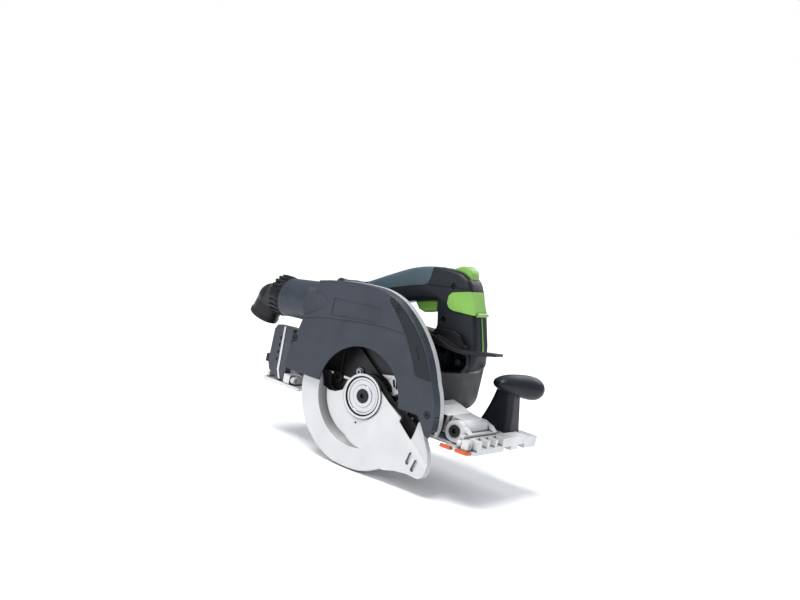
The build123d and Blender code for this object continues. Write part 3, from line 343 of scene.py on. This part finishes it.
def shade_inside(surface):
    """Painted shade on the guard's inner walls and in its slots, darker the deeper in; its outer faces stay
    bright.
    """
    axes = surface.add("ShaderNodeSeparateXYZ")
    surface.link(surface.place, axes.inputs[0])
    normal = surface.add("ShaderNodeSeparateXYZ")
    surface.link(surface.add("ShaderNodeTexCoord").outputs["Normal"], normal.inputs[0])
    flat = surface.add("ShaderNodeVectorMath", operation="MULTIPLY")
    flat.inputs[1].default_value = (1, 0, 1)
    surface.link(surface.place, flat.inputs[0])
    reach = surface.add("ShaderNodeVectorMath", operation="LENGTH")
    surface.link(flat.outputs["Vector"], reach.inputs[0])
    steep = surface.ramp(normal.outputs["Y"], -0.84, -0.78)
    deep = surface.ramp(axes.outputs["Y"], -0.0052, -0.0048)
    wall = surface.math("MAXIMUM", steep, deep)
    inside_rim = surface.ramp(reach.outputs["Value"], 0.0840, 0.0843, 1.0, 0.0)
    limits = [surface.ramp(axes.outputs[axis], start, end)
              for axis, (low, high) in SLOT_ROOM.items()
              for start, end in ((low, low + FADE), (high, high - FADE))]
    near_slots = limits[0]
    for limit in limits[1:]:
        near_slots = surface.math("MULTIPLY", near_slots, limit)
    where = surface.math("MAXIMUM", inside_rim, near_slots)
    # the painted shade grows darker the deeper inside the guard
    depth = surface.ramp(axes.outputs["Y"], -0.0125, -0.004, 0.62, 0.96)
    amount = surface.math("MULTIPLY", surface.math("MULTIPLY", wall, where), depth)
    target = surface.shader.inputs["Base Color"]
    bright = target.links[0].from_socket
    # mixes the painted shade into the guard's colour
    surface.link(surface.mix(amount, bright, PAINTED_INNER_SHADE, data_type="RGBA", blend_type="MIX"), target)


def make_materials():
    """All materials, by name."""
    made = {}
    for name, (colour, roughness, metallic, specular, settings) in FINISHES.items():
        surface = Surface(name, colour, roughness, metallic, specular)
        surface.finish(**settings)
        made[name] = surface.material
        # the guard gets painted shade on its inner walls and in its slots
        if name == "guard_alloy":
            shade_inside(surface)
        if name == "soft_rubber":
            surface.shader.inputs["Sheen Weight"].default_value = 0.3
            surface.shader.inputs["Sheen Roughness"].default_value = 0.35
    return made


def dress(mesh, material, crease):
    """Gives a mesh one material and smooth shading, sharp where it turns by more than some degrees."""
    mesh.materials.clear()
    mesh.materials.append(material)
    mesh.polygons.foreach_set("use_smooth", [True] * len(mesh.polygons))
    mesh.set_sharp_from_angle(angle=radians(crease))


def dress_nodes(looks):
    """Dresses each CAD node in its slot's material, or in its own look."""
    for part in frame["record"]["subparts"]:
        look = OWN_LOOKS.get(part["node"], part["material_slot"])
        dress(nodes[part["node"]].data, looks[look], 32)


# ---- shapes -------------------------------------------------------------------------
def arc(start, middle, end, steps):
    """Points on the circle through three points, from start to end."""
    (x1, y1), (x2, y2), (x3, y3) = start, middle, end
    d = 2 * (x1 * (y2 - y3) + x2 * (y3 - y1) + x3 * (y1 - y2))
    s1, s2, s3 = x1 * x1 + y1 * y1, x2 * x2 + y2 * y2, x3 * x3 + y3 * y3
    centre_x = (s1 * (y2 - y3) + s2 * (y3 - y1) + s3 * (y1 - y2)) / d
    centre_y = (s1 * (x3 - x2) + s2 * (x1 - x3) + s3 * (x2 - x1)) / d
    first = atan2(y1 - centre_y, x1 - centre_x)
    sweep = atan2(y3 - centre_y, x3 - centre_x) - first
    turn = (x2 - x1) * (y3 - y1) - (y2 - y1) * (x3 - x1)
    if turn > 0 and sweep < 0:
        sweep += 2 * pi
    if turn < 0 and sweep > 0:
        sweep -= 2 * pi
    radius = hypot(x1 - centre_x, y1 - centre_y)
    angles = [first + sweep * i / steps for i in range(steps + 1)]
    return [(centre_x + radius * cos(angle), centre_y + radius * sin(angle)) for angle in angles]


def soften(points, radius, steps=5):
    """Rounds the corners of a closed outline that turn by more than a few degrees."""
    rounded = []
    count = len(points)
    for i, corner in enumerate(points):
        here = Vector(corner)
        before = Vector(points[i - 1]) - here
        after = Vector(points[(i + 1) % count]) - here
        if before.angle(-after) < radians(12):
            rounded.append(corner)
            continue
        reach = min(radius, before.length * 0.45, after.length * 0.45)
        start = here + before.normalized() * reach
        end = here + after.normalized() * reach
        for step in range(steps + 1):
            t = step / steps
            rounded.append(tuple((1 - t) ** 2 * start + 2 * t * (1 - t) * here + t ** 2 * end))
    return rounded


def new_piece(name, mesh, material, body):
    """Links a mesh as a piece that rides on a body, in the material given."""
    piece = linked(name, mesh)
    dress(mesh, material, 35)
    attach(piece, body)
    return piece


def tidy(mesh):
    """Joins doubled vertices and turns all faces outward."""
    form = bmesh.new()
    form.from_mesh(mesh)
    bmesh.ops.remove_doubles(form, verts=form.verts, dist=2e-6)
    bmesh.ops.dissolve_degenerate(form, dist=1e-6, edges=form.edges)
    bmesh.ops.recalc_face_normals(form, faces=form.faces)
    form.to_mesh(mesh)
    form.free()


def form_mesh(name, form):
    """Turns a bmesh into a mesh with its faces outward."""
    bmesh.ops.recalc_face_normals(form, faces=form.faces)
    mesh = bpy.data.meshes.new(name)
    form.to_mesh(mesh)
    form.free()
    return mesh


def bridge(form, first, second):
    """Quads between two rings with the same number of vertices."""
    count = len(first)
    for i in range(count):
        j = (i + 1) % count
        form.faces.new((first[i], first[j], second[j], second[i]))


def evaluated_mesh(thing):
    """The mesh that an object has after its modifiers, or a curve after its bevel."""
    bpy.context.view_layer.update()
    return bpy.data.meshes.new_from_object(thing.evaluated_get(bpy.context.evaluated_depsgraph_get()))


def plate_mesh(loops, y_low, y_high, bevel=0.0, steps=4):
    """Outline in XZ filled between two values of Y, with rounded edges. Further loops cut holes."""
    data = bpy.data.curves.new("outline", "CURVE")
    data.dimensions = "2D"
    data.fill_mode = "BOTH"
    data.extrude = ((y_high - y_low) / 2 - bevel) * MM
    data.bevel_depth = bevel * MM
    data.bevel_resolution = steps
    data.offset = -bevel * MM
    for loop in loops:
        spline = data.splines.new("POLY")
        spline.points.add(len(loop) - 1)
        for point, (x, z) in zip(spline.points, loop):
            point.co = (x * MM, z * MM, 0, 1)
        spline.use_cyclic_u = True
    outline = linked("outline", data)
    mesh = evaluated_mesh(outline)
    bpy.data.objects.remove(outline)
    middle = (y_low + y_high) / 2 * MM
    mesh.transform(Matrix(((1, 0, 0, 0), (0, 0, -1, middle), (0, 1, 0, 0), (0, 0, 0, 1))))
    tidy(mesh)
    return mesh


def box_mesh(x, y, z):
    """Box given by its three (low, high) spans."""
    form = bmesh.new()
    bmesh.ops.create_cube(form, size=MM)
    for vert in form.verts:
        vert.co = Vector([(low + high) / 2 * MM + vert.co[i] * (high - low)
                          for i, (low, high) in enumerate((x, y, z))])
    return form_mesh("box", form)


def turned_mesh(profile, centre, segments=64):
    """Solid of revolution about a Y axis through (X, Z), from (radius, Y) points."""
    form = bmesh.new()
    angles = [2 * pi * i / segments for i in range(segments)]
    rings = []
    for radius, y in profile:
        if radius == 0:
            rings.append([form.verts.new((centre[0] * MM, y * MM, centre[1] * MM))])
            continue
        rings.append([form.verts.new(((centre[0] + radius * cos(angle)) * MM, y * MM,
                                      (centre[1] + radius * sin(angle)) * MM)) for angle in angles])
    for first, second in zip(rings, rings[1:] + rings[:1]):
        if len(first) == len(second) == segments:
            bridge(form, first, second)
        elif len(first) == segments:
            for i in range(segments):
                form.faces.new((first[i], first[(i + 1) % segments], second[0]))
        elif len(second) == segments:
            for i in range(segments):
                form.faces.new((first[0], second[(i + 1) % segments], second[i]))
    return form_mesh("turned", form)


def combine(mesh, others, operation):
    """Boolean of a mesh with each of the others: UNION, DIFFERENCE or INTERSECT."""
    base = linked("base_form", mesh)
    tools = [linked("tool_form", other) for other in others]
    for tool in tools:
        step = base.modifiers.new("step", "BOOLEAN")
        step.operation = operation
        step.solver = "EXACT"
        step.object = tool
    result = evaluated_mesh(base)
    for form in (base, *tools):
        bpy.data.objects.remove(form)
    tidy(result)
    return result


HALF_DEPTH = 200                      # of the box that keeps one half of a form
ALL_AROUND = (-300, 300)              # a span wider than the saw


def half(mesh, y, keep):
    """The part of a closed mesh on one side of a plane of constant Y, closed again; keep is 1 or -1."""
    far = y + HALF_DEPTH * keep
    return combine(mesh, [box_mesh(ALL_AROUND, (min(y, far), max(y, far)), ALL_AROUND)], "INTERSECT")


# ---- handle -------------------------------------------------------------------------
HANDLE_MID = 57.0                     # Y of the seam between the two shells
SEAM_GAP = 0.12                       # from the middle of the seam to each shell
PROUD = 0.45                          # of the soft insert over the shells
POCKET_HALF = 9.5                     # half the width of the trigger's and the lock's pockets
INSERT_HALF = 9.8                     # the same, in the soft insert
DIAL_AT = (-14.0, 84.5)
SCREW_SPOTS = ((-72, 106), (-20, 118), (60, 149), (56, 108), (90.0, 66.0))


def handle_form(grow=0.0):
    """D-shaped handle and its foot as one rounded solid; the D is grown by a little where asked."""
    tail = arc((-98, 119), (-77, 121), (-58, 126.5), 6)[:-1]
    rise = arc((-58, 126.5), (-31, 141.5), (-8, 153.5), 8)[:-1]
    crown = arc((-8, 153.5), (30, 165), (66, 166), 12)
    front = [(79, 160), (84.5, 150), (95.5, 124), (106, 90), (109, 76), (108, 64), (102, 55),
             (71.6, 48.2), (71.6, 76.4)]
    underside = [(-40, 76.4), (-60, 80), (-74, 94), (-98, 96)]
    outer = tail + rise + crown + front + underside
    hole = arc((-36, 99), (0, 115.5), (41, 127), 12) + [(47.5, 98), (44, 91), (-28, 89), (-36, 93)]
    foot = [(-30, 76.4), (71.4, 76.4), (71.4, 48), (98, 54), (104, 64), (103, 74), (96, 87), (-24, 87)]
    bow = plate_mesh([soften(outer, 6), soften(hole, 5)], 41 - grow, 73 + grow, 5.6 - grow, 5)
    base = plate_mesh([soften(foot, 3)], 37, 81, 2.4, 3)
    return combine(bow, [base], "UNION")


def pocket(x, z, half_width):
    """Room in the middle of the handle, given by its spans in X and Z."""
    return box_mesh(x, (HANDLE_MID - half_width, HANDLE_MID + half_width), z)


def make_shells(looks):
    """Two rounded shells with a seam, screw wells, openings and a groove beside the crown."""
    cutters = [pocket((6, 41.5), (100, 141), POCKET_HALF),
               pocket((47.5, 77), (151.5, 180), POCKET_HALF),
               turned_mesh([(0, 70.5), (10.6, 70.5), (10.6, 76.5), (0, 76.5)], DIAL_AT)]
    for spot in SCREW_SPOTS:
        cutters.append(turned_mesh([(0, 36), (3.5, 36), (3.5, 45.1), (0, 45.1)], spot, 32))
    line = [(26, 143.2), (44, 145.2), (57, 147.6), (72, 149.2), (92, 152.2)]
    cutters.append(plate_mesh([line + [(x, z - 0.8) for x, z in reversed(line)]], 40, 42.0))
    form = combine(handle_form(), cutters, "DIFFERENCE")
    for name, keep, node in (("handle_shell_right", -1, "handle_right"),
                             ("handle_shell_left", 1, "handle_left")):
        mesh = half(form, HANDLE_MID + SEAM_GAP * keep, keep)
        # the shells take the darker copy of the shell plastic, as painted shade
        shell = new_piece(name, mesh, looks["handle_plastic"], "head")
        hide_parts(node)


def make_soft_insert(looks):
    """Soft insert over the crown of the handle, a little proud of the shells."""
    edge = [(-52, 118.5), (-30, 124.5), (-10, 131.5), (6, 137), (18, 140.5), (24, 143.5), (26.6, 149),
            (27.6, 158), (27.6, 180), (-60, 180), (-60, 116)]
    proud = handle_form(PROUD)
    proud.transform(Matrix.Translation((0, 0, PROUD * MM)))
    insert = combine(proud, [plate_mesh([edge], 30, 84)], "INTERSECT")
    insert = combine(insert, [pocket((5.5, 42), (100, 141.5), INSERT_HALF)], "DIFFERENCE")
    grip = new_piece("soft_insert", insert, looks["soft_rubber"], "head")
    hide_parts("soft_grip")


# ---- front grip ---------------------------------------------------------------------
GRIP_START = Vector((119.0, 108.0, 44.5))
GRIP_END = Vector((137.0, 145.0, 43.5))
GRIP_SIDES = 16
# distance along the grip, half its height, half its width, and how far its middle is raised
GRIP_RINGS = ((-13.6, 3.4, 6.5, 0.6), (-9, 7.2, 10.8, 1.6), (0, 11.0, 13.4, 1.6), (11, 12.6, 14.4, 1.8),
              (24, 14.2, 15.0, 1.4), (37, 15.2, 15.6, 0.6), (46.5, 14.2, 14.6, 0.0), (53, 10.6, 11.2, 0.0),
              (56.6, 5.2, 6.0, 0.0))


def make_front_grip(looks):
    """Egg-shaped grip, thick at its outer end, with a thin lip over the stem."""
    run = (GRIP_END - GRIP_START).normalized()
    across = run.cross(Vector((0, 0, 1))).normalized()
    up = across.cross(run)
    angles = [2 * pi * i / GRIP_SIDES for i in range(GRIP_SIDES)]
    form = bmesh.new()
    rings = []
    for along, tall, wide, lift in GRIP_RINGS:
        middle = GRIP_START + run * along + up * lift
        rings.append([form.verts.new((middle + across * wide * cos(angle) + up * tall * sin(angle)) * MM)
                      for angle in angles])
    for first, second in zip(rings, rings[1:]):
        bridge(form, first, second)
    form.faces.new(rings[0])
    form.faces.new(rings[-1])
    mesh = form_mesh("front_grip", form)
    # the grip takes the darker copy of the shell plastic, as painted shade
    grip = new_piece("front_grip", mesh, looks["handle_plastic"], "base")
    round_off = grip.modifiers.new("round", "SUBSURF")
    round_off.levels = round_off.render_levels = 3
    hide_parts("aux_grip")


# ---- parts seen through the cut-out -------------------------------------------------
LUG = [(10, 29), (29, 32.6), (33, 24), (38.2, 13.2), (31.4, 9), (27.5, 18.5), (20, 25)]
LUG_WINDOW = [(26, 27), (29, 27.5), (32, 19), (29.5, 19)]
BUSH = [(1.9, 8.4), (4.0, 8.4), (4.4, 8.8), (4.4, 10.4), (1.9, 10.4)]
BUSH_AT = (38.6, -1.5)
INNER_FRAMES = ([(48, -6), (55, -3), (56.5, -11), (50, -13)],
                [(58, -9), (65, -7), (66.5, -15), (60, -16.5)])
OPENING = 0.55                        # size of a frame's opening, as a share of the frame's


def make_inner_details(looks):
    """A bright cast lug, a bush and two small frames on the wall behind the blade."""
    parts = {"inner_lug": plate_mesh([soften(LUG, 1.2), soften(LUG_WINDOW, 0.5)], 9.2, 10.8, 0.3, 2),
             "inner_bush": turned_mesh(BUSH, BUSH_AT, 40)}
    for count, loop in enumerate(INNER_FRAMES, 1):
        mid_x = sum(x for x, z in loop) / len(loop)
        mid_z = sum(z for x, z in loop) / len(loop)
        hole = [(mid_x + (x - mid_x) * OPENING, mid_z + (z - mid_z) * OPENING) for x, z in loop]
        outlines = [soften(loop, 0.8), soften(hole, 0.4)]
        parts[f"inner_frame_{count}"] = plate_mesh(outlines, 8.6, 10.6, 0.25, 2)
    for name, mesh in parts.items():
        new_piece(name, mesh, looks["steel_bright"], "head")


make_camera()
make_floor()
make_world()
make_lights()
materials = make_materials()
dress_nodes(materials)
make_shells(materials)
make_soft_insert(materials)
make_front_grip(materials)
make_inner_details(materials)
